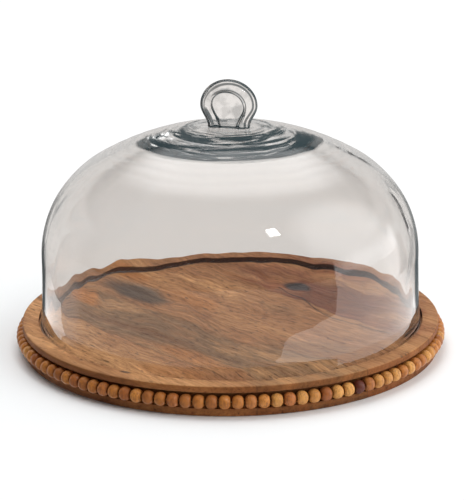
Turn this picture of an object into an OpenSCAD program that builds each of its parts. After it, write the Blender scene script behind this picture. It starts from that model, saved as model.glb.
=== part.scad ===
// Cheese dome: a glass bell with a pressed glass knob, standing in the recess of a round
// wooden board whose edge carries a string of wooden beads.
// Origin: centre of the board's underside. +Z is up, -Y is the front.

/* [Board] */
// Diameter of the board across its upper and lower lips
board_d = 320; // [260:1:360]
// Thickness of the board
board_h = 22; // [20:0.5:26]
// Diameter of the recess that the bell stands in
recess_d = 294.8; // [294:0.1:298]
// Depth of the recess
recess_depth = 4; // [3:0.5:6]
// Thickness of the lip above the cove
lip_h = 4.6; // [3.5:0.1:6]
// Radius of the cove that holds the beads
cove_r = 5.9; // [5.5:0.1:6]
// Rounding of the board's edges
edge_r = 1.2; // [0.5:0.1:2]
// Width of one plank before turning
plank_w = 79; // [60:1:90]
// Distance from the centre to the first glue joint
first_joint = -91; // [-100:1:-85]
// Turn of the planks about the vertical axis
plank_turn = 41; // [0:1:90]

/* [Beads] */
// Number of beads round the edge
bead_count = 112; // [100:4:112]
// Diameter of a bead
bead_d = 10; // [8:0.1:10]
// Length of a bead along the string
bead_l = 8.8; // [7:0.1:8.8]
// Diameter of a bead's bore
bead_bore = 2.5; // [2:0.1:3]
// Height by which the beads hang below the cove's centre line
bead_drop = 0.8; // [0:0.1:0.8]
// Diameter of the string
string_d = 1.2; // [0.8:0.1:1.6]

/* [Bell] */
// Diameter of the bell at its rim
bell_rim_d = 292.9; // [292:0.1:293.5]
// Diameter of the bell where the wall meets the shoulder
bell_wall_d = 288.3; // [284:0.1:290]
// Thickness of the blown wall
glass_t = 3.8; // [3:0.1:4.5]
// Outer radius of the domed crown
crown_r = 206.6; // [200:0.1:215]
// Height of the full dome above the underside, before the top is flattened
crown_z = 170.9; // [168:0.1:174]
// Height of the flat seat that the knob stands on
seat_z = 168; // [166:0.5:168]
// Outer radius of the shoulder
shoulder_r = 82.7; // [75:0.1:90]
// Thickness of the glass under the knob
crown_t = 8.4; // [7:0.1:10]
// Radius of the thick glass in the crown
lens_r = 66; // [60:1:67]
// Radius of curvature of the ceiling under the thick glass
ceiling_r = 560; // [500:10:700]

/* [Knob] */
// Height of the knob
knob_h = 36; // [30:0.5:40]
// Width of the knob's head
knob_w = 44; // [38:0.5:46]
// Width of the knob's neck
neck_w = 32; // [28:0.5:34]
// Thickness of the knob between its pressed faces
knob_t = 16; // [14:0.5:18]
// Depth of the dish in each pressed face
dish = 1.6; // [0.5:0.1:2]
// Turn of the knob about the vertical axis
knob_turn = -17; // [-45:1:45]

/* [Hidden] */

board_r = board_d / 2;
recess_r = recess_d / 2;
recess_z = board_h - recess_depth;
cove_z = board_h - lip_h - cove_r;
bead_z = cove_z - bead_drop;
bead_pitch = 360 / bead_count;

// Bell: centres of the crown, shoulder and lens arcs
rim_r = bell_rim_d / 2;
wall_r = bell_wall_d / 2;
crown_cz = crown_z - crown_r;
shoulder_cr = wall_r - shoulder_r;
shoulder_cz = crown_cz + sqrt(pow(crown_r - shoulder_r, 2) - pow(shoulder_cr, 2));
tangent_a = atan2(shoulder_cz - crown_cz, shoulder_cr);
seat_r = sqrt(crown_r * crown_r - pow(seat_z - crown_cz, 2));
seat_a = acos(seat_r / crown_r);
ceiling_z = seat_z - crown_t;
ceiling_cz = ceiling_z - ceiling_r;
lens_a = acos(lens_r / (crown_r - glass_t));

// Knob: the head is widest at this height above the seat
head_z = knob_h * 0.46;
knob_rings = 22;
knob_sides = 32;

$fn = 96;

// Points on an arc of radius r about [cx, cz], from angle a0 to a1 in n steps
function arc(cx, cz, r, a0, a1, n) =
    [for (i = [0:n]) let (a = a0 + (a1 - a0) * i / n) [cx + r * cos(a), cz + r * sin(a)]];

// Outer radius of the bell's wall at height z, flaring out towards the rim
function wall_at(z) =
    wall_r + (rim_r - wall_r) * pow((shoulder_cz - z) / (shoulder_cz - recess_z), 2);

// Beads whose wood is known by place, counted from the front towards the right
STRAW = [3, 5, 6, 8, 9, 12, 13, 14, 16, 19, 20];
TAN = [1, 11, 17, 96, 99, 105, 108, 110];
RUSSET = [4, 7, 92, 98, 101, 103, 107];
WALNUT = [10];
known_right = 21;
known_left = 91;

function is_in(i, list) = len(search(i, list)) > 0;

// Wood of a bead: 0 straw, 1 honey, 2 tan, 3 russet, 4 walnut
function bead_wood(i) =
    is_in(i, WALNUT) ? 4 :
    is_in(i, RUSSET) ? 3 :
    is_in(i, TAN) ? 2 :
    is_in(i, STRAW) ? 0 :
    (i > known_right && i < known_left && (i * 29) % 9 < 4) ? (i * 5) % 3 + (i % 2) :
    1;

module board_disc() {
    difference() {
        rotate_extrude() polygon(concat(
            [[0, 0]],
            arc(board_r - edge_r, edge_r, edge_r, -90, 0, 6),
            arc(board_r - edge_r, board_h - edge_r, edge_r, 0, 90, 6),
            arc(recess_r + edge_r / 2, board_h - edge_r / 2, edge_r / 2, 90, 180, 4),
            [[recess_r, recess_z], [0, recess_z]]));
        translate([0, 0, cove_z]) rotate_extrude() translate([board_r, 0]) circle(cove_r);
    }
}

// One plank: the strip of the board between two glue joints
module plank(from, to) {
    intersection() {
        board_disc();
        rotate([0, 0, plank_turn]) translate([from, -board_r - 1, -1])
            cube([to - from, board_d + 2, board_h + 2]);
    }
}

module plank_1() {
    color("tan") plank(-board_r - 1, first_joint);
}

module plank_2() {
    color("burlywood") plank(first_joint, first_joint + plank_w);
}

module plank_3() {
    color("tan") plank(first_joint + plank_w, first_joint + 2 * plank_w);
}

module plank_4() {
    color("peru") plank(first_joint + 2 * plank_w, board_r + 1);
}

module bead() {
    rotate([90, 0, 0]) difference() {
        intersection() {
            sphere(d = bead_d);
            cube([bead_d + 1, bead_d + 1, bead_l], center = true);
        }
        cylinder(d = bead_bore, h = bead_l + 1, center = true);
    }
}

// All the beads of one wood, in their places round the edge
module beads_of(wood) {
    for (i = [0:bead_count - 1]) {
        if (bead_wood(i) == wood) {
            rotate([0, 0, (i + 0.5) * bead_pitch - 90]) translate([board_r, 0, bead_z]) bead();
        }
    }
}

module beads_straw() {
    color("wheat") beads_of(0);
}

module beads_honey() {
    color("sandybrown") beads_of(1);
}

module beads_tan() {
    color("peru") beads_of(2);
}

module beads_russet() {
    color("sienna") beads_of(3);
}

module bead_walnut() {
    color("saddlebrown") beads_of(4);
}

// The string that the beads are threaded on
module bead_string() {
    color("khaki") translate([0, 0, bead_z])
        rotate_extrude() translate([board_r, 0]) circle(d = string_d);
}

// Blown bell: flared wall, shoulder, domed crown with a flat seat, and thick glass in the crown
module glass_bell() {
    wall_steps = 10;
    color("lightcyan", 0.35) rotate_extrude($fn = 180) polygon(concat(
        [[wall_at(recess_z) - glass_t, recess_z], [wall_at(recess_z), recess_z]],
        [for (i = [1:wall_steps]) let (z = recess_z + (shoulder_cz - recess_z) * i / wall_steps)
            [wall_at(z), z]],
        arc(shoulder_cr, shoulder_cz, shoulder_r, 3, tangent_a, 18),
        arc(0, crown_cz, crown_r, tangent_a + 1, seat_a, 12),
        [[0, seat_z], [0, ceiling_z]],
        [for (i = [1:5]) let (r = lens_r * 0.98 * i / 5)
            [r, ceiling_cz + sqrt(ceiling_r * ceiling_r - r * r)]],
        arc(0, crown_cz, crown_r - glass_t, lens_a - 0.5, tangent_a, 4),
        arc(shoulder_cr, shoulder_cz, shoulder_r - glass_t, tangent_a - 3, 0, 18),
        [for (i = [wall_steps - 1:-1:1]) let (z = recess_z + (shoulder_cz - recess_z) * i / wall_steps)
            [wall_at(z) - glass_t, z]]));
}

// Half width of the knob at height z above the seat: a neck that swells into a round head
function knob_half(z) =
    z < head_z ? neck_w / 2 + (knob_w - neck_w) / 4 * (1 - cos(180 * z / head_z)) :
    knob_w / 2 * sqrt(max(0, 1 - pow((z - head_z) / (knob_h - head_z), 2)));

// Half thickness of the knob at height z: full below, closing in a round rim at the top
function knob_deep(z) =
    let (rim = knob_t / 2, up = max(0, z - (knob_h - rim)))
    sqrt(max(0, rim * rim - up * up));

// Height of ring i, closer together towards the top
function ring_z(i) = knob_h * sin(90 * i / knob_rings);

// One ring of the knob: a rounded oblong, dished on its two faces
function knob_ring(z) =
    let (half = knob_half(z), deep = min(knob_deep(z), half), flat = half - deep)
    [for (s = [0:knob_sides - 1])
        let (a = 360 * (s + 0.5) / knob_sides,
             side = cos(a) > 0 ? 1 : -1,
             hollow = dish * deep / (knob_t / 2) * pow(sin(a), 6))
        [side * flat * (1 - pow(abs(sin(a)), 3)) + deep * cos(a) * 1,
         (deep - hollow) * sin(a), z]];

module glass_knob() {
    rings = [for (i = [0:knob_rings - 1]) knob_ring(ring_z(i))];
    top = knob_rings * knob_sides;
    color("lightcyan", 0.35) translate([0, 0, seat_z]) rotate([0, 0, knob_turn]) polyhedron(
        points = concat([for (ring = rings) for (p = ring) p], [[0, 0, knob_h]]),
        faces = concat(
            [[for (s = [0:knob_sides - 1]) s]],
            [for (i = [0:knob_rings - 2]) for (s = [0:knob_sides - 1])
                let (a = i * knob_sides + s, b = i * knob_sides + (s + 1) % knob_sides)
                [a, a + knob_sides, b + knob_sides, b]],
            [for (s = [0:knob_sides - 1])
                let (base = (knob_rings - 1) * knob_sides)
                [base + s, top, base + (s + 1) % knob_sides]]));
}

plank_1();
plank_2();
plank_3();
plank_4();
beads_straw();
beads_honey();
beads_tan();
beads_russet();
bead_walnut();
bead_string();
glass_bell();
glass_knob();
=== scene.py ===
"""Cheese dome: a glass bell with a pressed glass knob on a round, beaded wooden board.

Metres, in the CAD frame: origin at the centre of the board's underside, +Z up, -Y the front.
"""

import math
import random

import bmesh
import bpy
from mathutils import Matrix, Vector, noise


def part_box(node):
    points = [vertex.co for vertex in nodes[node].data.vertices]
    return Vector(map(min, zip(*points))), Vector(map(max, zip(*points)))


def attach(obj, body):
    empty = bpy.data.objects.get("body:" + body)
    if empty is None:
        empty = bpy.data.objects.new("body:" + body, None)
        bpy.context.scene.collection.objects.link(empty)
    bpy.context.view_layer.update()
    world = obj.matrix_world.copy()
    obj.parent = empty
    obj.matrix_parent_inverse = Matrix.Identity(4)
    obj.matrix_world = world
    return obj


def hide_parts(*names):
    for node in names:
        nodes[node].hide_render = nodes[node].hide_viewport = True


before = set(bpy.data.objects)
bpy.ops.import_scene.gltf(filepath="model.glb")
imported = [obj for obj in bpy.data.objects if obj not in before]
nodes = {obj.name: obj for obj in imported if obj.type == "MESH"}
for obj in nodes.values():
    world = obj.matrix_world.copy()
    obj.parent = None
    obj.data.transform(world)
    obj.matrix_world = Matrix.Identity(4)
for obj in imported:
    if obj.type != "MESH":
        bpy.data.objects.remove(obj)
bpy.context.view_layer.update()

MM = 0.001
TAU = 2 * math.pi
PLANKS = ["plank_1", "plank_2", "plank_3", "plank_4"]
BEADS = ["beads_straw", "beads_honey", "beads_tan", "beads_russet", "bead_walnut"]

# ---------------------------------------------------------------- measures taken from the frame
board_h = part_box("plank_2")[1].z
board_r = 160 * MM
recess_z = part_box("glass_bell")[0].z
seat_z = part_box("glass_bell")[1].z
rim_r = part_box("glass_bell")[1].x
knob_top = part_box("glass_knob")[1].z
bead_z = (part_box("beads_honey")[0].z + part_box("beads_honey")[1].z) / 2

# the planks' width direction, and the grain along them
PLANK_TURN = math.radians(41)
GLUE_JOINTS = [(-91 + 79 * i) * MM for i in range(3)]


# ---------------------------------------------------------------- small tools
def smooth(edge0, edge1, x):
    """0 below edge0, 1 above edge1, with a soft step between."""
    t = min(1.0, max(0.0, (x - edge0) / (edge1 - edge0)))
    return t * t * (3 - 2 * t)


def new_piece(name, bm, body, node, material):
    """Makes the mesh a smooth-shaded piece on a body, standing for a CAD node."""
    bmesh.ops.recalc_face_normals(bm, faces=bm.faces)
    mesh = bpy.data.meshes.new(name)
    bm.to_mesh(mesh)
    bm.free()
    for face in mesh.polygons:
        face.use_smooth = True
    mesh.materials.append(material)
    piece = bpy.data.objects.new(name, mesh)
    bpy.context.scene.collection.objects.link(piece)
    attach(piece, body)
    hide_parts(node)


class Nodes:
    """Short calls for building one node tree."""

    def __init__(self, tree):
        self.tree = tree
        tree.nodes.clear()

    def add(self, kind, inputs=(), **settings):
        node = self.tree.nodes.new(kind)
        for key, value in settings.items():
            setattr(node, key, value)
        for key, value in dict(inputs).items():
            if isinstance(value, bpy.types.NodeSocket):
                self.tree.links.new(value, node.inputs[key])
            else:
                node.inputs[key].default_value = value
        return node

    def math(self, operation, a, b=0.0):
        return self.add("ShaderNodeMath", {0: a, 1: b}, operation=operation).outputs[0]

    def split(self, vector):
        """The x, y and z sockets of a vector."""
        return self.add("ShaderNodeSeparateXYZ", {0: vector}).outputs

    def flat_length(self, vector):
        """Length of a vector without its z: the distance from the axis."""
        flat = self.scaled(vector, (1, 1, 0))
        return self.add("ShaderNodeVectorMath", {0: flat}, operation="LENGTH").outputs["Value"]

    def around(self, vector):
        """Angle round the axis, from the front towards the right, in radians."""
        x, y, _ = self.split(vector)
        return self.math("ARCTAN2", x, self.math("MULTIPLY", y, -1.0))

    def scaled(self, vector, scale, offset=(0, 0, 0)):
        """The vector times scale plus offset, each a triple."""
        node = self.add("ShaderNodeVectorMath", {0: vector, 1: scale, 2: offset},
                        operation="MULTIPLY_ADD")
        return node.outputs[0]

    def noise(self, vector, scale, detail=3.0, rough=0.55, distortion=0.0):
        node = self.add("ShaderNodeTexNoise", {"Vector": vector, "Scale": scale, "Detail": detail,
                                               "Roughness": rough, "Distortion": distortion})
        return node.outputs[0]

    def step(self, value, low, high, to_low=0.0, to_high=1.0):
        """A soft step of the value from low to high."""
        node = self.add("ShaderNodeMapRange", {"Value": value, "From Min": low, "From Max": high,
                                               "To Min": to_low, "To Max": to_high},
                        interpolation_type="SMOOTHSTEP")
        return node.outputs[0]

    def ramp(self, value, stops):
        """A colour ramp; stops are (place, (r, g, b))."""
        node = self.add("ShaderNodeValToRGB", {0: value})
        band = node.color_ramp
        while len(band.elements) < len(stops):
            band.elements.new(0.5)
        for element, (place, colour) in zip(band.elements, stops):
            element.position = place
            element.color = (*colour, 1)
        return node.outputs[0]

    def mix(self, factor, a, b, blend="MIX"):
        node = self.add("ShaderNodeMix", data_type="RGBA", blend_type=blend)
        for key, value in ((0, factor), (6, a), (7, b)):
            if isinstance(value, bpy.types.NodeSocket):
                self.tree.links.new(value, node.inputs[key])
            else:
                node.inputs[key].default_value = value if key == 0 else (*value, 1)
        return node.outputs[2]

    def bump(self, height, strength, distance):
        return self.add("ShaderNodeBump", {"Height": height, "Strength": strength,
                                           "Distance": distance}).outputs[0]


def material(name):
    made = bpy.data.materials.new(name)
    made.use_nodes = True
    return made, Nodes(made.node_tree)


def srgb(r, g, b):
    """A colour given in screen values of 0 to 255, as linear light."""
    return tuple((c / 255 / 12.92) if c <= 10 else ((c / 255 + 0.055) / 1.055) ** 2.4
                 for c in (r, g, b))


# ---------------------------------------------------------------- wood
WOOD_LIGHT = srgb(193, 141, 94)
WOOD_TAN = srgb(160, 110, 72)
WOOD_BROWN = srgb(126, 80, 50)
WOOD_DARK = srgb(72, 46, 32)
WOOD_ORANGE = srgb(184, 116, 57)
WOOD_GREY = srgb(130, 98, 70)
WOOD_RED = srgb(136, 80, 54)
WOOD_SMOKE = srgb(70, 62, 54)
WOOD_KNOT = srgb(56, 50, 50)
WOOD_CRACK = srgb(48, 30, 24)
WOOD_WINE = srgb(106, 58, 42)
# how much darker or lighter the grain turns the wood
GRAIN_DARK = (0.56, 0.48, 0.44)
GRAIN_LIGHT = (1.42, 1.42, 1.38)

# a patch whose half width is under this, in mm, is a pin hole in the top face
PIN_HOLE = 3
# patches on a plank: centre x, y, half length and half width in mm, turn in degrees, colour, share
PATCHES = {
    "plank_1": [(-92, -84, 30, 11, -35, WOOD_LIGHT, 0.45),
                (-40, -122, 30, 8, -25, WOOD_ORANGE, 0.30),
                (-74, -130, 5, 2.2, -25, WOOD_KNOT, 0.8)],
    "plank_2": [(-92, -10, 70, 15, -42, WOOD_GREY, 0.70),
                (-40, -58, 50, 13, -42, WOOD_GREY, 0.55),
                (-118, 54, 24, 11, -62, WOOD_ORANGE, 0.85),
                (-28, -90, 40, 11, -46, WOOD_ORANGE, 0.40),
                (-66, -30, 60, 6, -42, WOOD_BROWN, 0.45),
                (-72, 60, 40, 17, -42, WOOD_SMOKE, 0.80),
                (-86, 30, 30, 9, -42, WOOD_LIGHT, 0.45)],
    "plank_3": [(-72, 60, 40, 17, -42, WOOD_SMOKE, 0.80),
                (-34, 44, 34, 14, -52, WOOD_ORANGE, 0.45),
                (28, -122, 34, 8, 8, WOOD_ORANGE, 0.45),
                (20, -70, 50, 16, -45, WOOD_GREY, 0.45),
                (-84, 112, 26, 10, -40, WOOD_ORANGE, 0.5),
                (10, 90, 60, 16, -40, WOOD_BROWN, 0.35),
                (122, -103, 1.5, 1.1, 0, WOOD_KNOT, 0.95),
                (126, -99, 1.4, 1.0, 0, WOOD_KNOT, 0.95)],
    "plank_4": [(84, 40, 56, 30, -52, WOOD_WINE, 0.75),
                (98, -10, 44, 20, -49, WOOD_RED, 0.35),
                (20, 118, 60, 14, -30, WOOD_BROWN, 0.5),
                (56, 70, 17, 8, -55, WOOD_KNOT, 0.97)],
}
# the crack that runs out of the knot: points in mm, each stretch drawn as a soft dark line
CRACK = [(40, 72), (56, 40), (72, 6), (90, -12), (118, -42)]


def patch_mask(n, place, wobble, centre, half, turn):
    """An oval patch with a ragged edge, 1 inside and 0 outside."""
    at = n.add("ShaderNodeVectorMath", {0: place, 1: (centre[0] * MM, centre[1] * MM, 0)},
               operation="SUBTRACT").outputs[0]
    turned = n.add("ShaderNodeVectorRotate", {"Vector": at, "Axis": (0, 0, 1),
                                              "Angle": -math.radians(turn)},
                   rotation_type="AXIS_ANGLE").outputs[0]
    sized = n.scaled(turned, (1 / (half[0] * MM), 1 / (half[1] * MM), 0))
    away = n.add("ShaderNodeVectorMath", {0: sized}, operation="LENGTH").outputs["Value"]
    ragged = n.math("ADD", away, n.math("MULTIPLY", n.math("SUBTRACT", wobble, 0.5), 0.75))
    mask = n.step(ragged, 1.25, 0.55)
    high = n.split(place)[2]
    if half[1] > PIN_HOLE:
        # figure and stain fade with depth, down to the underside
        return n.math("MULTIPLY", mask, n.step(high, 0, recess_z, 0.3, 1.0))
    # a small hole stays in the top face
    return n.math("MULTIPLY", mask, n.step(high, board_h - 1.5 * MM, board_h - 0.5 * MM))


def crack_mask(n, x, y, wobble):
    """1 along the crack's stretches and 0 away from them."""
    crack = 0.0
    jitter = n.math("MULTIPLY", n.math("SUBTRACT", wobble, 0.5), 0.008)
    for (x0, y0), (x1, y1) in zip(CRACK[:-1], CRACK[1:]):
        long = math.hypot(x1 - x0, y1 - y0) * MM
        ux, uy = (x1 - x0) * MM / long, (y1 - y0) * MM / long
        dx = n.math("SUBTRACT", x, x0 * MM)
        dy = n.math("SUBTRACT", y, y0 * MM)
        run = n.math("ADD", n.math("MULTIPLY", dx, ux), n.math("MULTIPLY", dy, uy))
        off = n.math("SUBTRACT", n.math("MULTIPLY", dy, ux), n.math("MULTIPLY", dx, uy))
        off = n.math("ABSOLUTE", n.math("ADD", off, jitter))
        within = n.math("MULTIPLY", n.step(run, -0.002, 0.001), n.step(run, long + 0.002, long))
        near = n.math("MULTIPLY", n.step(off, 0.0011, 0.0002), within)
        crack = n.math("MAXIMUM", near, crack)
    return crack


def plank_wood(name, node, seed, base, drift):
    """Oiled open-grained wood: broad figure, fine lines along the plank, fibres and pores."""
    mat, n = material(name)
    place = n.add("ShaderNodeTexCoord").outputs["Object"]
    x, y, z = n.split(place)
    # in turned, x is across the plank, y along the grain and z through the board, in metres
    turned = n.add("ShaderNodeVectorRotate", {"Vector": place, "Axis": (0, 0, 1),
                                              "Angle": -PLANK_TURN},
                   rotation_type="AXIS_ANGLE").outputs[0]
    shift = (seed * 3.17, seed * 1.31, seed * 0.77)
    sway = n.noise(n.scaled(turned, (1, 0.45, 1), shift), 11, 2, 0.5)
    swayed = n.add("ShaderNodeVectorMath", {0: turned, 1: n.scaled(
        n.add("ShaderNodeCombineXYZ", {0: sway}).outputs[0], (0.045, 0, 0))},
        operation="ADD").outputs[0]
    figure = n.noise(n.scaled(swayed, (1, 0.20, 0.6), shift), 34, 4, 0.62)
    lines = n.noise(n.scaled(swayed, (1, 0.05, 1), shift), 300, 3, 0.6)
    fibres = n.noise(n.scaled(swayed, (1, 0.18, 1), shift), 560, 4, 0.75)
    pores = n.noise(n.scaled(swayed, (1, 0.20, 1), (shift[1], shift[2], shift[0])), 520, 2, 0.6)
    pore_mask = n.step(pores, 0.60, 0.70)
    blotch = n.noise(n.scaled(turned, (1, 0.5, 1), shift), 17, 3, 0.55)
    wobble = n.noise(n.scaled(turned, (1, 0.30, 1), shift), 60, 3, 0.6)

    colour = n.ramp(figure, [(0.28, WOOD_BROWN), (0.43, base), (0.57, drift), (0.74, WOOD_LIGHT)])
    colour = n.mix(n.math("MULTIPLY", n.step(blotch, 0.50, 0.64), 0.35), colour, WOOD_LIGHT)
    colour = n.mix(n.math("MULTIPLY", n.step(blotch, 0.46, 0.34), 0.40), colour, WOOD_GREY)
    for at_x, at_y, long, wide, turn, tint, share in PATCHES[node]:
        mask = patch_mask(n, place, wobble, (at_x, at_y), (long, wide), turn)
        colour = n.mix(n.math("MULTIPLY", mask, share), colour, tint)
    for mask, share, tint in ((n.step(lines, 0.50, 0.66), 0.45, GRAIN_DARK),
                              (n.step(lines, 0.44, 0.34), 0.45, GRAIN_LIGHT),
                              (n.step(fibres, 0.50, 0.62), 0.75, GRAIN_DARK),
                              (n.step(fibres, 0.47, 0.36), 0.65, GRAIN_LIGHT)):
        colour = n.mix(n.math("MULTIPLY", mask, share), colour,
                       n.mix(1.0, colour, tint, "MULTIPLY"))
    colour = n.mix(n.math("MULTIPLY", pore_mask, 0.75), colour, WOOD_DARK)
    if node in ("plank_3", "plank_4"):
        crack = crack_mask(n, x, y, wobble)
        colour = n.mix(n.math("MULTIPLY", crack, 0.85), colour, WOOD_CRACK)
    # painted highlight: the lip is paler, unevenly, where its rounded edge catches light, most of
    # all at the front, and the underside is not
    reach = n.flat_length(place)
    highlight_share = n.step(wobble, 0.30, 0.62, 0.10, 0.45)
    lip_highlight = n.math("MULTIPLY", n.step(reach, 0.1485, 0.153), highlight_share)
    lip_highlight = n.math("MULTIPLY", lip_highlight, n.step(y, 0.05, -0.05, 0.15, 1.0))
    lip_highlight = n.math("MULTIPLY", lip_highlight, n.step(z, 2 * MM, 4 * MM))
    colour = n.mix(lip_highlight, colour, WOOD_LIGHT)
    # painted shade: the turned edge is darker where it faces sideways
    up = n.split(n.add("ShaderNodeNewGeometry").outputs["Normal"])[2]
    side = n.step(n.math("ABSOLUTE", up), 0.90, 0.35)
    colour = n.mix(side, colour, n.mix(1.0, colour, srgb(206, 182, 158), "MULTIPLY"))
    # painted shade darkens the step of the recess, most of all its upright wall
    inner = n.math("MULTIPLY", n.step(reach, 0.1480, 0.1475), n.step(reach, 0.1405, 0.1472))
    inner = n.math("MULTIPLY", inner, n.step(z, recess_z - 2 * MM, recess_z - 1 * MM))
    recess_shade = n.math("MULTIPLY", inner, n.math("MAXIMUM", side, 0.45))
    colour = n.mix(recess_shade, colour, n.mix(1.0, colour, srgb(118, 98, 84), "MULTIPLY"))
    # glue lines between the planks
    across = n.split(turned)[0]
    line = 0.0
    for joint in GLUE_JOINTS:
        away = n.math("ABSOLUTE", n.math("SUBTRACT", across, joint))
        line = n.math("MAXIMUM", n.step(away, 0.0006, 0.0002), line)
    colour = n.mix(n.math("MULTIPLY", line, 0.45), colour, WOOD_DARK)

    height = n.math("SUBTRACT", n.math("MULTIPLY", fibres, 0.6),
                    n.math("MULTIPLY", pore_mask, 0.9))
    rough = n.step(lines, 0.3, 0.7, 0.48, 0.66)
    shader = n.add("ShaderNodeBsdfPrincipled", {"Base Color": colour, "Roughness": rough,
                                                "Normal": n.bump(height, 0.45, 0.0005),
                                                "Specular IOR Level": 0.14})
    n.add("ShaderNodeOutputMaterial", {0: shader.outputs[0]})
    return mat


PLANK_WOODS = {
    "plank_1": (1.0, WOOD_TAN, WOOD_LIGHT),
    "plank_2": (2.3, WOOD_TAN, WOOD_GREY),
    "plank_3": (3.9, WOOD_TAN, WOOD_TAN),
    "plank_4": (5.2, WOOD_RED, WOOD_TAN),
}
for plank, (seed, base, drift) in PLANK_WOODS.items():
    nodes[plank].data.materials.clear()
    nodes[plank].data.materials.append(plank_wood(plank + "_wood", plank, seed, base, drift))

# ---------------------------------------------------------------- beads
BEAD_COUNT = 112
BEAD_PITCH = TAU / BEAD_COUNT
BEAD_R = 5.0 * MM
BEAD_HALF = 4.4 * MM
BORE_R = 1.25 * MM
# how much painted shade darkens the wood in the gaps between the beads
GAP_SHADE = (0.38, 0.30, 0.25)
# light and dark of each wood
BEAD_TONES = {
    "beads_straw": (srgb(225, 163, 88), srgb(193, 128, 62)),
    "beads_honey": (srgb(208, 136, 65), srgb(173, 102, 42)),
    "beads_tan": (srgb(191, 120, 60), srgb(155, 90, 40)),
    "beads_russet": (srgb(187, 113, 57), srgb(154, 86, 39)),
    "bead_walnut": (srgb(92, 36, 24), srgb(54, 20, 14)),
}


def bead_outline():
    """(along the string, radius) from bore to bore: a flattened ball with soft shoulders."""
    steps = 16
    points = [(-BEAD_HALF * 0.94, BORE_R)]
    for i in range(steps + 1):
        a = math.pi * (0.13 + 0.74 * i / steps)
        x = -math.copysign(abs(math.cos(a)) ** 0.92, math.cos(a)) * BEAD_HALF * 1.02
        x = max(-BEAD_HALF, min(BEAD_HALF, x))
        points.append((x, BEAD_R * math.sin(a) ** 0.82))
    points.append((BEAD_HALF * 0.94, BORE_R))
    return points


def add_bead(bm, layer, index, rng):
    """One bead, threaded along the tangent at its place round the edge."""
    sides = 28
    swell = rng.uniform(0.965, 0.995)
    squash = rng.uniform(0.97, 1.0)
    turn = rng.uniform(0, TAU)
    tone = (rng.random(), rng.random(), rng.random(), 1)
    angle = (index + 0.5) * BEAD_PITCH - TAU / 4
    place = (Matrix.Rotation(angle, 4, "Z") @ Matrix.Translation((board_r, 0, bead_z))
             @ Matrix.Rotation(TAU / 4, 4, "X"))
    rings = []
    for along, radius in bead_outline():
        grow = swell if radius > BORE_R * 1.01 else 1.0
        ring = []
        for s in range(sides):
            a = TAU * s / sides + turn
            at = place @ Vector((radius * grow * math.cos(a), radius * grow * math.sin(a),
                                 along * squash))
            vert = bm.verts.new(at)
            vert[layer] = tone
            ring.append(vert)
        rings.append(ring)
    for i, ring in enumerate(rings):
        following = rings[(i + 1) % len(rings)]
        for s in range(sides):
            t = (s + 1) % sides
            bm.faces.new((ring[s], ring[t], following[t], following[s]))


def bead_material(name, light, dark):
    """Turned and waxed softwood: each bead has its own shade and its own run of grain."""
    mat, n = material(name)
    tone = n.add("ShaderNodeAttribute", attribute_name="tone").outputs["Color"]
    parts = n.add("ShaderNodeSeparateColor", {0: tone})
    place = n.add("ShaderNodeTexCoord").outputs["Object"]
    shifted = n.add("ShaderNodeVectorMath", {0: place, 1: tone}, operation="ADD").outputs[0]
    grain = n.noise(n.scaled(shifted, (1, 1, 0.22)), 900, 4, 0.6, 0.4)
    cloud = n.noise(shifted, 160, 2)
    colour = n.mix(parts.outputs[0], dark, light)
    colour = n.mix(n.math("MULTIPLY", n.step(grain, 0.46, 0.58), 0.75), colour,
                   n.mix(0.45, dark, WOOD_BROWN))
    colour = n.mix(n.math("MULTIPLY", n.step(cloud, 0.45, 0.7), 0.45), colour, light)
    # painted shade darkens each bead towards its ends, in the gaps between neighbours
    pitches = n.math("DIVIDE", n.around(place), BEAD_PITCH)
    along = n.math("FRACT", n.math("ADD", pitches, BEAD_COUNT))
    edge = n.math("ABSOLUTE", n.math("SUBTRACT", along, 0.5))
    colour = n.mix(n.step(edge, 0.37, 0.50), colour, n.mix(1.0, colour, GAP_SHADE, "MULTIPLY"))
    rough = n.step(grain, 0.3, 0.7, 0.30, 0.46)
    shader = n.add("ShaderNodeBsdfPrincipled", {"Base Color": colour, "Roughness": rough,
                                                "Normal": n.bump(grain, 0.45, 0.0004),
                                                "Specular IOR Level": 0.30,
                                                "Coat Weight": 0.20, "Coat Roughness": 0.08})
    n.add("ShaderNodeOutputMaterial", {0: shader.outputs[0]})
    return mat


def beads_in(node):
    """Places of the beads that a CAD node holds, counted round the edge from the front."""
    places = set()
    for vert in nodes[node].data.vertices:
        angle = (math.atan2(vert.co.y, vert.co.x) + TAU / 4) % TAU
        if vert.co.xy.length > board_r + BEAD_R * 0.9:
            places.add(int(angle / BEAD_PITCH))
    return sorted(places)


for node in BEADS:
    rng = random.Random(node)
    bm = bmesh.new()
    layer = bm.verts.layers.float_color.new("tone")
    for index in beads_in(node):
        add_bead(bm, layer, index, rng)
    wood = bead_material(node + "_wood", *BEAD_TONES[node])
    new_piece(node + "_turned", bm, "board", node, wood)

# ---------------------------------------------------------------- string
STRING_R = 0.6 * MM


def string_material():
    """Twisted waxed cotton."""
    mat, n = material("string_cotton")
    place = n.add("ShaderNodeTexCoord").outputs["Object"]
    fuzz = n.noise(place, 2500, 2)
    colour = n.mix(fuzz, srgb(150, 128, 96), srgb(198, 178, 142))
    shader = n.add("ShaderNodeBsdfPrincipled", {"Base Color": colour, "Roughness": 0.8,
                                                "Normal": n.bump(fuzz, 0.4, 0.0002)})
    n.add("ShaderNodeOutputMaterial", {0: shader.outputs[0]})
    return mat


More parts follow.
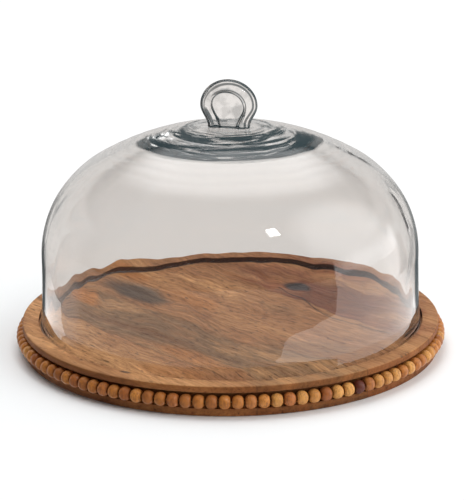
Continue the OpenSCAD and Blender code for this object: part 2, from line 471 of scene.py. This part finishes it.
def make_string():
    """Two strands laid round each other, as one closed ring through the beads."""
    bm = bmesh.new()
    sides, steps, twists = 6, 1344, 336
    strand_r = STRING_R * 0.5
    for strand in range(2):
        rings = []
        for i in range(steps):
            a = TAU * i / steps
            lay = a * twists + strand * math.pi
            centre_r = board_r + strand_r * math.cos(lay)
            centre_z = bead_z + strand_r * math.sin(lay)
            ring = []
            for s in range(sides):
                b = TAU * s / sides
                r = centre_r + strand_r * math.cos(b)
                ring.append(bm.verts.new((r * math.cos(a), r * math.sin(a),
                                          centre_z + strand_r * math.sin(b))))
            rings.append(ring)
        for i in range(steps):
            following = rings[(i + 1) % steps]
            for s in range(sides):
                t = (s + 1) % sides
                bm.faces.new((rings[i][s], rings[i][t], following[t], following[s]))
    new_piece("bead_string_laid", bm, "board", "bead_string", string_material())


make_string()

# ---------------------------------------------------------------- glass
GLASS_T = 3.8 * MM
WALL_R = 144.15 * MM
CROWN_R = 206.6 * MM
CROWN_Z = 170.9 * MM
SHOULDER_R = 82.7 * MM
CROWN_T = 8.4 * MM
LENS_R = 66 * MM
CROWN_LOW = 152 * MM
CEILING_R = 560 * MM
crown_cz = CROWN_Z - CROWN_R
shoulder_cr = WALL_R - SHOULDER_R
shoulder_cz = crown_cz + math.sqrt((CROWN_R - SHOULDER_R) ** 2 - shoulder_cr ** 2)
tangent = math.atan2(shoulder_cr, shoulder_cz - crown_cz)
ceiling_cz = seat_z - CROWN_T - CEILING_R
RIM_ROUND = 1.0 * MM
# the flat pad that the knob was pressed onto
PAD_R = 19 * MM

# colour of the painted dark reflection on the glass's edges and crown, and how much the glass dims
# a lamp
PAINTED_REFLECTION_DARK = (0.016, 0.033, 0.039)
CLEAR_TO_LAMPS = (0.955, 0.958, 0.955)
BELL_TINT = (0.905, 0.905, 0.900)
KNOB_TINT = (0.96, 0.96, 0.955)
# painted dark reflection bands: start, full, fade and end on the way from facing to edge-on, and
# share
BELL_BANDS = [(0.79, 0.86, 0.93, 0.99, 1.0)]
KNOB_BANDS = [(0.35, 0.45, 0.97, 1.02, 0.84), (0.11, 0.16, 0.24, 0.31, 0.80)]


def glass_material(name, tint, dark_bands, of_bell):
    """Clear soda-lime glass. Lamps light what is under it, and a painted dark reflection lies on
    its edges.
    """
    mat, n = material(name)
    facing = n.add("ShaderNodeLayerWeight", {"Blend": 0.5}).outputs["Facing"]
    dark = 0.0
    for start, full, fade, end, share in dark_bands:
        band = n.math("MULTIPLY", n.step(facing, start, full), n.step(facing, end, fade))
        dark = n.math("MAXIMUM", n.math("MULTIPLY", band, share), dark)
    place = n.add("ShaderNodeTexCoord").outputs["Object"]
    uneven = n.step(n.noise(n.scaled(place, (1, 1, 0.5)), 28, 2), 0.25, 0.55, 0.65, 1.0)
    dark = n.math("MULTIPLY", dark, uneven)
    if of_bell:
        # a painted dark reflection lies on the wall's edge, but not on the shoulder above it nor
        # the rim below it
        up = n.math("ABSOLUTE", n.split(n.add("ShaderNodeNewGeometry").outputs["True Normal"])[2])
        high = n.split(place)[2]
        dark = n.math("MULTIPLY", dark, n.math("MULTIPLY", n.step(up, 0.80, 0.30),
                                               n.step(high, 0.024, 0.040)))
        # painted dark reflection on the thick crown, for the light it turns back inside itself
        # when it is looked at from low down
        reach = n.flat_length(place)
        lens = n.math("MULTIPLY", n.step(reach, LENS_R + 1 * MM, LENS_R - 4 * MM),
                      n.step(high, CROWN_LOW, CROWN_LOW + 4 * MM))
        crown_dark_band = n.math("MULTIPLY", n.step(facing, 0.44, 0.56), n.step(facing, 0.86, 0.74))
        ringed = n.add("ShaderNodeCombineXYZ", {
            0: n.math("MULTIPLY", reach, 150),
            1: n.math("MULTIPLY", n.around(place), 1.1)}).outputs[0]
        patchy = n.step(n.noise(ringed, 1.0, 3, 0.6, 0.8), 0.40, 0.56, 0.08, 0.96)
        pad = n.step(reach, 0.019, 0.030, 0.25, 1.0)
        lens = n.math("MULTIPLY", lens, crown_dark_band)
        lens = n.math("MULTIPLY", lens, n.math("MULTIPLY", patchy, pad))
        dark = n.math("MAXIMUM", dark, lens)
    else:
        # faint grey clouds darken the knob
        cloud = n.step(n.noise(place, 95, 2), 0.47, 0.62, 0.0, 0.20)
        dark = n.math("MAXIMUM", dark, cloud)
    glass = n.add("ShaderNodeBsdfPrincipled", {"Base Color": (*tint, 1), "Roughness": 0.0,
                                               "IOR": 1.5, "Transmission Weight": 1.0})
    shade = n.add("ShaderNodeBsdfPrincipled", {"Base Color": (*PAINTED_REFLECTION_DARK, 1),
                                               "Roughness": 0.5, "Specular IOR Level": 0.05})
    edged = n.add("ShaderNodeMixShader", {0: dark, 1: glass.outputs[0], 2: shade.outputs[0]})
    clear = n.add("ShaderNodeBsdfTransparent", {"Color": (*CLEAR_TO_LAMPS, 1)})
    path = n.add("ShaderNodeLightPath")
    through = n.math("MAXIMUM", path.outputs["Is Shadow Ray"], path.outputs["Is Diffuse Ray"])
    mixed = n.add("ShaderNodeMixShader", {0: through, 1: edged.outputs[0], 2: clear.outputs[0]})
    n.add("ShaderNodeOutputMaterial", {0: mixed.outputs[0]})
    return mat


def wall_radius(z):
    """The wall flares out from the shoulder down to the rim."""
    return WALL_R + (rim_r - WALL_R) * ((shoulder_cz - z) / (shoulder_cz - recess_z)) ** 2


def bell_outside():
    """(radius, height) from the rim up to the axis."""
    points = []
    for i in range(7):
        a = math.pi / 2 * i / 6
        points.append((wall_radius(recess_z) - RIM_ROUND + RIM_ROUND * math.sin(a),
                       recess_z + RIM_ROUND - RIM_ROUND * math.cos(a)))
    for i in range(1, 45):
        z = recess_z + RIM_ROUND + (shoulder_cz - recess_z - RIM_ROUND) * i / 44
        points.append((wall_radius(z), z))
    for i in range(1, 61):
        a = math.pi / 2 + (tangent - math.pi / 2) * i / 60
        points.append((shoulder_cr + SHOULDER_R * math.sin(a),
                       shoulder_cz + SHOULDER_R * math.cos(a)))
    seat_r = math.sqrt(CROWN_R ** 2 - (seat_z - crown_cz) ** 2)
    seat_a = math.asin(seat_r / CROWN_R)
    for i in range(1, 61):
        a = tangent + (seat_a - tangent) * i / 60
        points.append((CROWN_R * math.sin(a), crown_cz + CROWN_R * math.cos(a)))
    for i in range(1, 25):
        points.append((seat_r * (1 - i / 24), seat_z))
    return points


def bell_inside():
    """(radius, height) from the axis down to the rim."""
    points = []
    for i in range(40):
        r = LENS_R * 0.97 * i / 39
        points.append((r, ceiling_cz + math.sqrt(CEILING_R ** 2 - r * r)))
    inner_crown = CROWN_R - GLASS_T
    lens_a = math.asin(LENS_R * 1.03 / inner_crown)
    for i in range(1, 24):
        a = lens_a + (tangent - lens_a) * i / 23
        points.append((inner_crown * math.sin(a), crown_cz + inner_crown * math.cos(a)))
    for i in range(1, 61):
        a = tangent + (math.pi / 2 - tangent) * i / 60
        points.append((shoulder_cr + (SHOULDER_R - GLASS_T) * math.sin(a),
                       shoulder_cz + (SHOULDER_R - GLASS_T) * math.cos(a)))
    for i in range(1, 45):
        z = shoulder_cz + (recess_z + RIM_ROUND - shoulder_cz) * i / 44
        points.append((wall_radius(z) - GLASS_T, z))
    for i in range(1, 7):
        a = math.pi / 2 * i / 6
        points.append((wall_radius(recess_z) - GLASS_T + RIM_ROUND - RIM_ROUND * math.cos(a),
                       recess_z + RIM_ROUND - RIM_ROUND * math.sin(a)))
    return points


def waviness(r, z, a, side):
    """How far the blown surface stands inside its true shape, in metres."""
    x, y = math.cos(a), math.sin(a)
    broad = noise.noise(Vector((x * 2.1, y * 2.1, z * 12 + side * 9)))
    close = noise.noise(Vector((x * 5.2, y * 5.2, z * 22 + side * 5)))
    small = noise.noise(Vector((x * 13, y * 13, z * 52 + side * 3)))
    fade = smooth(recess_z + 2 * MM, recess_z + 14 * MM, z)
    wall = smooth(seat_z - 6 * MM, shoulder_cz + 50 * MM, z)
    depth = (1 - broad) * 0.16 + (1 - close) * 0.34 * wall + (1 - small) * 0.085 * wall
    rings = 0.0
    if side == 0 and z > shoulder_cz:
        grip = smooth(PAD_R, 24 * MM, r) * smooth(72 * MM, 50 * MM, r)
        outer = smooth(LENS_R, 74 * MM, r) * smooth(104 * MM, 88 * MM, r)
        swirl = r / MM + 2.6 * broad + 1.4 * close
        rings = (1 + math.sin(swirl * TAU / 7.5)) * (0.075 * grip) + (
            1 + math.sin(swirl * TAU / 9.5)) * 0.10 * outer
    return -(depth * fade + rings) * MM


def make_bell():
    segments = 288
    bm = bmesh.new()

    def ring_of(r, z, side, normal):
        ring = []
        for s in range(segments):
            a = TAU * s / segments
            off = waviness(r, z, a, side)
            ring.append(bm.verts.new(((r + normal[0] * off) * math.cos(a),
                                      (r + normal[0] * off) * math.sin(a),
                                      z + normal[1] * off)))
        return ring

    def normals(points):
        found = []
        for i in range(len(points)):
            r0, z0 = points[max(0, i - 1)]
            r1, z1 = points[min(len(points) - 1, i + 1)]
            length = math.hypot(r1 - r0, z1 - z0)
            found.append(((z1 - z0) / length, (r0 - r1) / length))
        return found

    rows = []
    for side, points in enumerate((bell_outside(), bell_inside())):
        for (r, z), normal in zip(points, normals(points)):
            if r < 1e-6:
                rows.append([bm.verts.new((0, 0, z))])
            else:
                flat = z < recess_z + 1.5 * RIM_ROUND or (side == 0 and r < PAD_R)
                rows.append(ring_of(r, z, side, (0, 0) if flat else normal))
    for i, row in enumerate(rows):
        following = rows[(i + 1) % len(rows)]
        if len(row) == 1 and len(following) == 1:
            continue
        for s in range(segments):
            t = (s + 1) % segments
            if len(row) == 1:
                bm.faces.new((row[0], following[t], following[s]))
            elif len(following) == 1:
                bm.faces.new((row[s], row[t], following[0]))
            else:
                bm.faces.new((row[s], row[t], following[t], following[s]))
    new_piece("glass_bell_blown", bm, "dome", "glass_bell",
              glass_material("bell_glass", BELL_TINT, BELL_BANDS, True))


make_bell()

KNOB_H = knob_top - seat_z
KNOB_HALF = 22 * MM
NECK_HALF = 16 * MM
KNOB_DEEP = 8 * MM
DISH = 1.9 * MM
KNOB_TURN = math.radians(-17)
HEAD_Z = KNOB_H * 0.46


def knob_half(z):
    """Half width of the knob at height z above its foot."""
    if z < HEAD_Z:
        return NECK_HALF + (KNOB_HALF - NECK_HALF) / 2 * (1 - math.cos(math.pi * z / HEAD_Z))
    return KNOB_HALF * math.sqrt(max(0.0, 1 - ((z - HEAD_Z) / (KNOB_H - HEAD_Z)) ** 2))


def knob_outline():
    """(across, height) round the knob's outline, from one side of the foot over to the other."""
    points = []
    for i in range(28):
        z = HEAD_Z * i / 28
        points.append((knob_half(z), z))
    for i in range(97):
        a = math.pi * i / 96
        points.append((KNOB_HALF * math.cos(a), HEAD_Z + (KNOB_H - HEAD_Z) * math.sin(a)))
    for i in range(27, -1, -1):
        z = HEAD_Z * i / 28
        points.append((-knob_half(z), z))
    return points


def make_knob():
    """Two pressed faces inside a full round rim; each face is dished along head and neck."""
    outline = knob_outline()
    layers = 30
    lift = 0.03 * MM
    place = (Matrix.Translation((0, 0, seat_z)) @ Matrix.Rotation(KNOB_TURN, 4, "Z"))
    bm = bmesh.new()

    def height_at(away):
        bulge = KNOB_DEEP
        if away < KNOB_DEEP:
            bulge = math.sqrt(max(0.0, KNOB_DEEP ** 2 - (KNOB_DEEP - away) ** 2))
        return bulge - DISH * smooth(5.2 * MM, 9.5 * MM, away)

    def column(x, z, side):
        """Points from the outline in to the spine on one face."""
        spine_z = min(z, HEAD_Z)
        reach = math.hypot(x, z - spine_z)
        points = []
        for k in range(layers + 1):
            q = 1 - math.cos(math.pi / 2 * k / layers)
            deep = height_at(reach * q) * side
            at = Vector((x * (1 - q), -deep, spine_z + (z - spine_z) * (1 - q)))
            points.append(at)
        return points

    grid = {}
    front = []
    back = []

    def vert(at):
        key = (round(at.x * 1e7), round(at.y * 1e7), round(at.z * 1e7))
        if key not in grid:
            moved = Vector((at.x, at.y, max(at.z, lift)))
            grid[key] = bm.verts.new(place @ moved)
        return grid[key]

    for x, z in outline:
        front.append([vert(at) for at in column(x, z, 1)])
        back.append([vert(at) for at in column(x, z, -1)])
    for sheet in (front, back):
        for a, b in zip(sheet[:-1], sheet[1:]):
            for k in range(layers):
                corners = []
                for corner in (a[k], a[k + 1], b[k + 1], b[k]):
                    if corner not in corners:
                        corners.append(corner)
                if len(corners) > 2 and bm.faces.get(corners) is None:
                    bm.faces.new(corners)
    open_edges = [edge for edge in bm.edges if len(edge.link_faces) == 1]
    bmesh.ops.holes_fill(bm, edges=open_edges)
    new_piece("glass_knob_pressed", bm, "dome", "glass_knob",
              glass_material("knob_glass", KNOB_TINT, KNOB_BANDS, False))


make_knob()

# ---------------------------------------------------------------- floor
# the backdrop as the glass shows it, a little greyer than the lit paper
SEEN_THROUGH = (0.88, 0.84, 0.81)
# and as the glass mirrors it: a painted pool of light at the front and painted shade behind the
# object
SEEN_MIRRORED = (2.1, 2.1, 2.1)
SEEN_BEHIND = (0.55, 0.54, 0.53)
# a white that the camera records as pure white
WHITE = (1.05, 1.05, 1.05)
floor_mat, n = material("floor_paper")
path = n.add("ShaderNodeLightPath")
place = n.add("ShaderNodeTexCoord").outputs["Object"]
direct = path.outputs["Is Camera Ray"]
through = path.outputs["Is Transmission Ray"]
mirrored = n.math("MULTIPLY", path.outputs["Is Reflection Ray"], path.outputs["Is Singular Ray"])
# beyond the object's shadow the camera sees plain white
away = n.math("ADD", n.math("MULTIPLY", n.step(n.flat_length(place), 0.19, 0.42), direct),
              n.math("MAXIMUM", through, mirrored))
paper = n.add("ShaderNodeBsdfPrincipled", {"Base Color": (0.93, 0.93, 0.93, 1),
                                           "Roughness": 0.9, "Specular IOR Level": 0.1})
back = n.step(n.split(place)[1], 0.03, 0.16)
seen = n.mix(mirrored, n.mix(through, WHITE, SEEN_THROUGH),
             n.mix(back, SEEN_MIRRORED, SEEN_BEHIND))
glow = n.add("ShaderNodeEmission", {0: seen})
mixed = n.add("ShaderNodeMixShader", {0: away, 1: paper.outputs[0], 2: glow.outputs[0]})
n.add("ShaderNodeOutputMaterial", {0: mixed.outputs[0]})


def floor_patch(name, corners, z):
    mesh = bpy.data.meshes.new(name)
    mesh.from_pydata([(x, y, z) for x, y in corners], [], [tuple(range(len(corners)))])
    mesh.materials.append(floor_mat)
    patch = bpy.data.objects.new(name, mesh)
    bpy.context.scene.collection.objects.link(patch)
    return patch


# a glowing sheet that only the glass and the wax mirror: a painted reflection of the table's
# bright part
SHEET_OUTLINE = [(0.05, -0.20), (0.06, -0.268), (0.12, -0.276), (0.18, -0.262), (0.24, -0.225),
                 (0.30, -0.165), (0.34, -0.05), (0.34, 0.30), (0.26, 2.0), (-0.26, 2.0),
                 (-0.28, 0.02), (-0.20, -0.05)]
sheet = floor_patch("floor_near", SHEET_OUTLINE, 0)
sheet.visible_camera = False
sheet.visible_diffuse = False
sheet.visible_transmission = False
sheet.visible_shadow = False
FLOOR_HALF = 6
floor_far = floor_patch("floor_far", [(-FLOOR_HALF, -FLOOR_HALF), (FLOOR_HALF, -FLOOR_HALF),
                                      (FLOOR_HALF, FLOOR_HALF), (-FLOOR_HALF, FLOOR_HALF)],
                        -0.2 * MM)
floor_far.visible_glossy = False

# ---------------------------------------------------------------- light
world = bpy.data.worlds.new("studio")
bpy.context.scene.world = world
world.use_nodes = True
w = Nodes(world.node_tree)
STUDIO_DIM = (0.10, 0.115, 0.125)
STUDIO_BACKDROP = (0.62, 0.61, 0.60)
generated = w.add("ShaderNodeTexCoord").outputs["Generated"]
direction = w.split(generated)
behind = w.step(direction[1], 0.10, 0.35)
low = w.step(direction[2], 0.46, 0.38)
shade = w.mix(w.math("MULTIPLY", behind, low), STUDIO_DIM, STUDIO_BACKDROP)


def glow(aim, start, full, strength):
    """A soft-edged light in the studio, towards aim; start and full are cosines of its edge."""
    near = w.add("ShaderNodeVectorMath", {0: generated, 1: Vector(aim).normalized()},
                 operation="DOT_PRODUCT")
    share = w.step(near.outputs["Value"], start, full)
    return w.mix(1.0, shade, w.mix(share, (0, 0, 0), (strength,) * 3), "ADD")


shade = glow((0.02, 0.60, 0.80), 0.86, 0.965, 1.8)
shade = glow((0.84, -0.05, 0.55), 0.84, 0.97, 1.5)
# a low panel on the right, from 63 to 125 degrees round from the front
panel = w.step(direction[2], 0.30, 0.08)
for side, sharp in (((0.454, 0.891, 0), 0.02), ((0.574, -0.819, 0), 0.12)):
    past = w.add("ShaderNodeVectorMath", {0: generated, 1: side}, operation="DOT_PRODUCT")
    panel = w.math("MULTIPLY", panel, w.step(past.outputs["Value"], 0, sharp))
PANEL_STRENGTH = 1.9
shade = w.mix(1.0, shade, w.mix(panel, (0, 0, 0), (PANEL_STRENGTH,) * 3), "ADD")
# the camera itself sees a plain white studio
shade = w.mix(w.add("ShaderNodeLightPath").outputs["Is Camera Ray"], shade, WHITE)
sky = w.add("ShaderNodeBackground", {0: shade, 1: 1.0})
w.add("ShaderNodeOutputWorld", {0: sky.outputs[0]})


def area_light(name, at, aim, size, radiance):
    """A rectangular softbox; radiance is how bright its face looks."""
    data = bpy.data.lights.new(name, "AREA")
    data.shape = "RECTANGLE"
    data.size, data.size_y = size
    data.energy = radiance * math.pi * size[0] * size[1]
    lamp = bpy.data.objects.new(name, data)
    bpy.context.scene.collection.objects.link(lamp)
    lamp.location = at
    lamp.rotation_euler = (Vector(aim) - Vector(at)).to_track_quat("-Z", "Y").to_euler()
    lamp.visible_camera = False
    return lamp


# the softboxes light the scene but don't show in the glass, and the small lamp is its highlight
for lamp in (area_light("top_softbox", (-0.25, 0.25, 1.40), (0, 0, 0), (1.2, 1.2), 2.3),
             area_light("right_softbox", (0.85, -0.75, 0.50), (0, 0, 0), (0.8, 0.6), 2.9)):
    lamp.visible_glossy = False
    lamp.visible_transmission = False
area_light("small_lamp", (0.62, -0.85, 1.40), (0, 0, 0.1), (0.15, 0.19), 34)

# ---------------------------------------------------------------- camera
# distance in metres from the centre of the board's top, and angles in radians, fitted to the photo
CAMERA_AWAY = 1.280
CAMERA_RISE = 0.3249
CAMERA_PITCH = 0.2876
CAMERA_ROLL = -0.0079
CAMERA_YAW = 0.0019
CAMERA_LENS = 118.97
camera_data = bpy.data.cameras.new("camera")
camera_data.lens = CAMERA_LENS
camera_data.sensor_width = 36
camera = bpy.data.objects.new("camera", camera_data)
bpy.context.scene.collection.objects.link(camera)
camera.location = (0, -CAMERA_AWAY * math.cos(CAMERA_RISE),
                   board_h + CAMERA_AWAY * math.sin(CAMERA_RISE))
camera.rotation_euler = (Matrix.Rotation(-CAMERA_YAW, 3, "Z")
                         @ Matrix.Rotation(math.pi / 2 - CAMERA_PITCH, 3, "X")
                         @ Matrix.Rotation(CAMERA_ROLL, 3, "Z")).to_euler()
bpy.context.scene.camera = camera
bpy.context.scene.view_settings.view_transform = "Standard"
# light is passed on many times inside thick glass
cycles = bpy.context.scene.cycles
cycles.max_bounces = 24
cycles.glossy_bounces = 16
cycles.transmission_bounces = 24
cycles.transparent_max_bounces = 16
